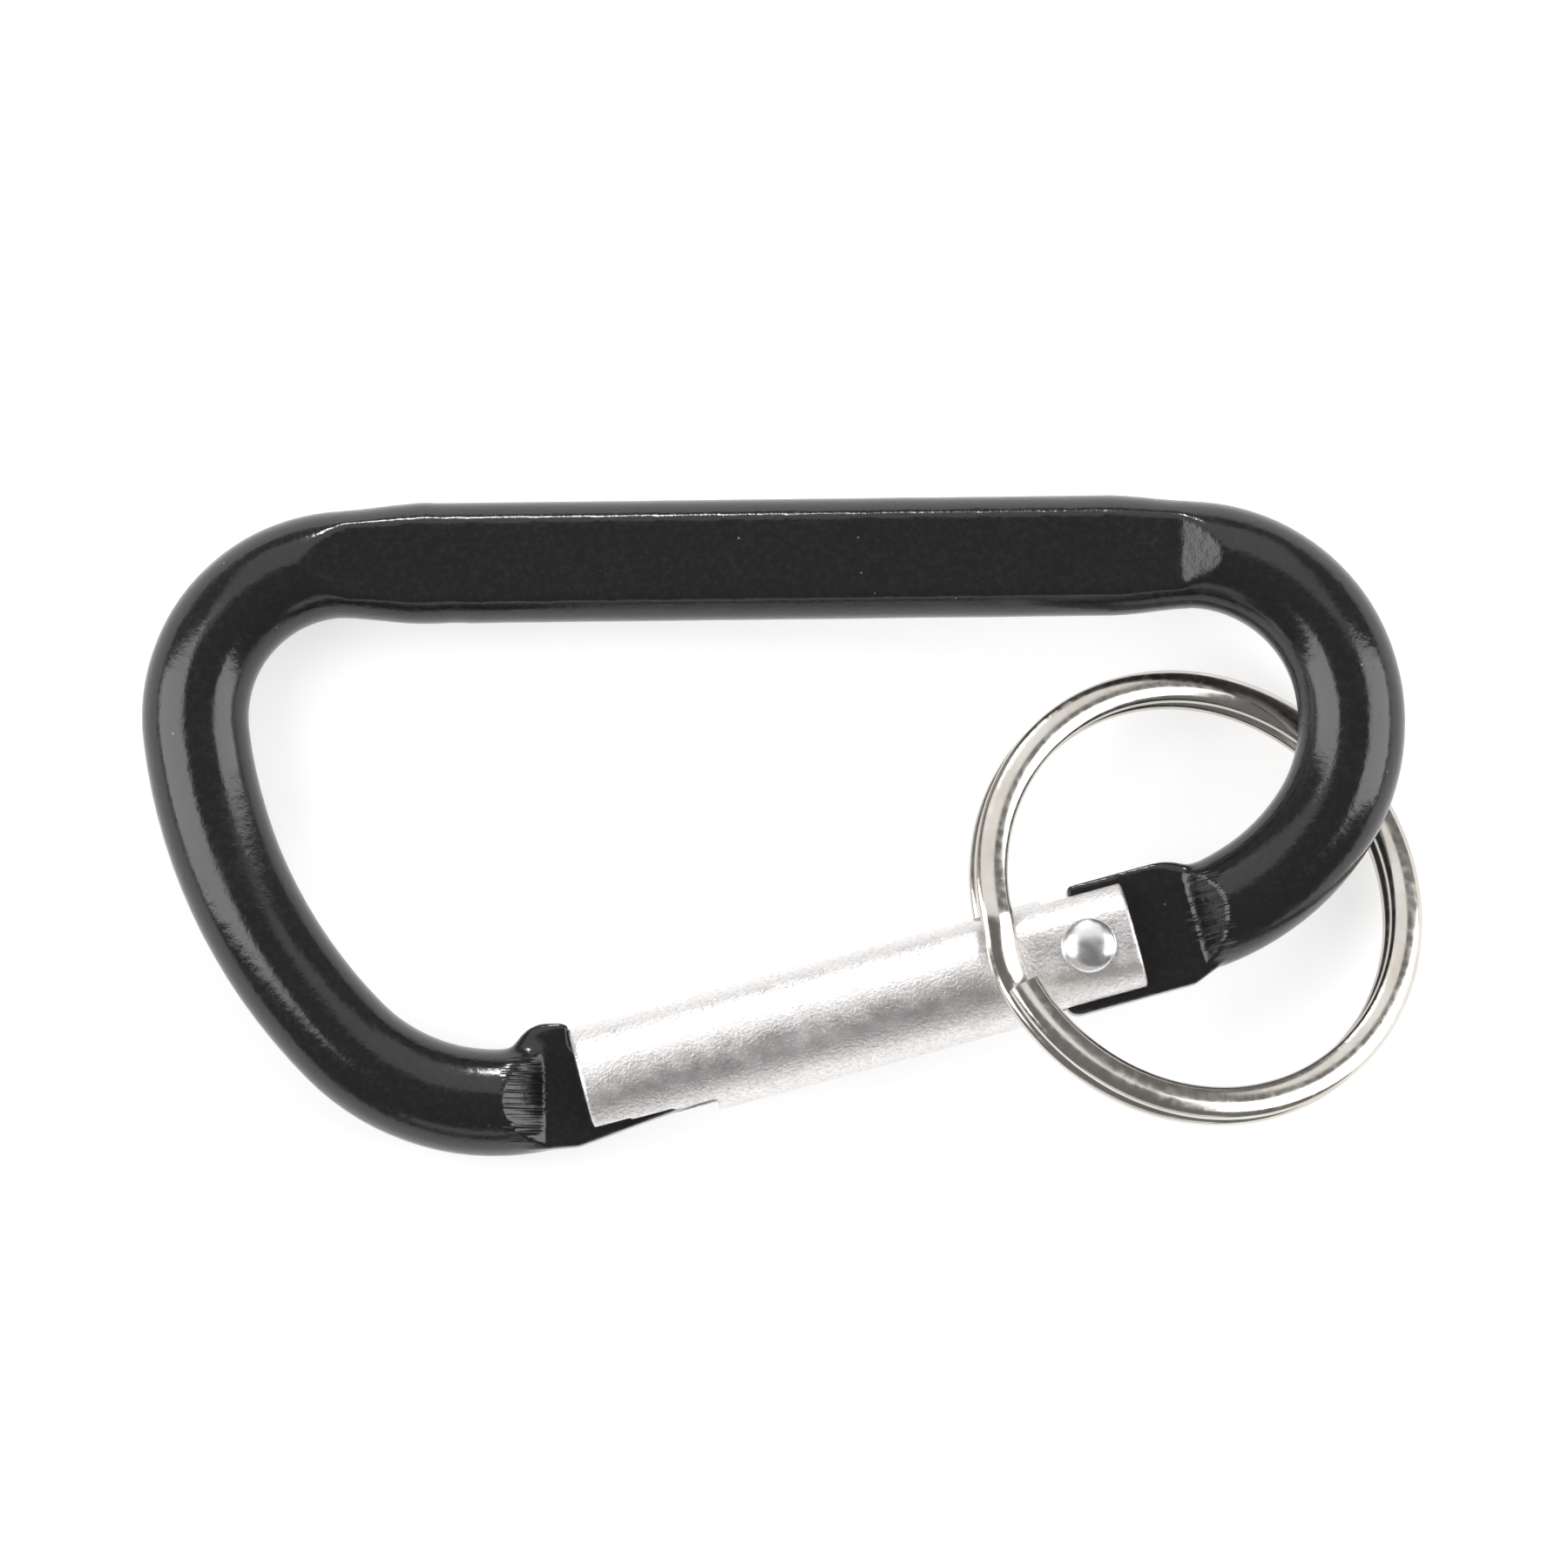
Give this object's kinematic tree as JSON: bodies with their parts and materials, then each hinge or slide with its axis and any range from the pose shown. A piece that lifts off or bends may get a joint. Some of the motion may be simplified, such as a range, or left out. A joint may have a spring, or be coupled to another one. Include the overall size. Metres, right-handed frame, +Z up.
{
  "type": "carabiner keyring",
  "caption": "D-shaped carabiner keyring with a sprung tube gate that swings inwards on a rivet, a pressed flat spine and a split ring for keys.",
  "frame": {"origin": "middle of the keyring's footprint, on the surface it lies on", "axes": "+Z up from the surface, +X along the spine towards the hinge end, +Y from the gate towards the spine; the plane of the D leans 2.5 degrees because the split ring lies under the hinge end"},
  "size_m": [0.0814, 0.0416, 0.013],
  "materials": {
    "black_enamel": "gloss black enamel over aluminium",
    "satin_aluminium": "satin",
    "polished_aluminium": "polished",
    "plunger_plastic": "matt",
    "spring_steel": "drawn wire",
    "nickel_plate": "bright nickel plate"
  },
  "bodies": {
    "frame": {"frame_bar": "black_enamel"},
    "gate": {"gate_sleeve": "satin_aluminium", "hinge_rivet": "polished_aluminium", "return_spring": "spring_steel"},
    "follower": {"follower_pin": "plunger_plastic"},
    "ring": {"split_ring": "nickel_plate"}
  },
  "joints": [
    {"name": "gate_hinge", "type": "hinge", "parent": "frame", "child": "gate", "pos_m": [0.01908, -0.00806, 0.00561], "axis": [0.0419, 0.0122, -0.999], "range_deg": [0, 28], "stiffness_Nm_per_rad": 0.1, "springref_deg": -17.19},
    {"name": "follower_slide", "type": "slide", "parent": "gate", "child": "follower", "axis": [-0.9667, -0.2521, -0.0436], "range_m": [0, 0.0013], "deforming": ["return_spring"]},
    {"name": "ring_flip", "type": "hinge", "parent": "frame", "child": "ring", "pos_m": [0.02698, -0.00407, 0.00599], "axis": [-0.6426, 0.766, -0.0176], "range_deg": [0, 125]}
  ],
  "couplings": [
    {"joint": "follower_slide", "follows": "gate_hinge", "m_per_rad": 0.0025}
  ]
}
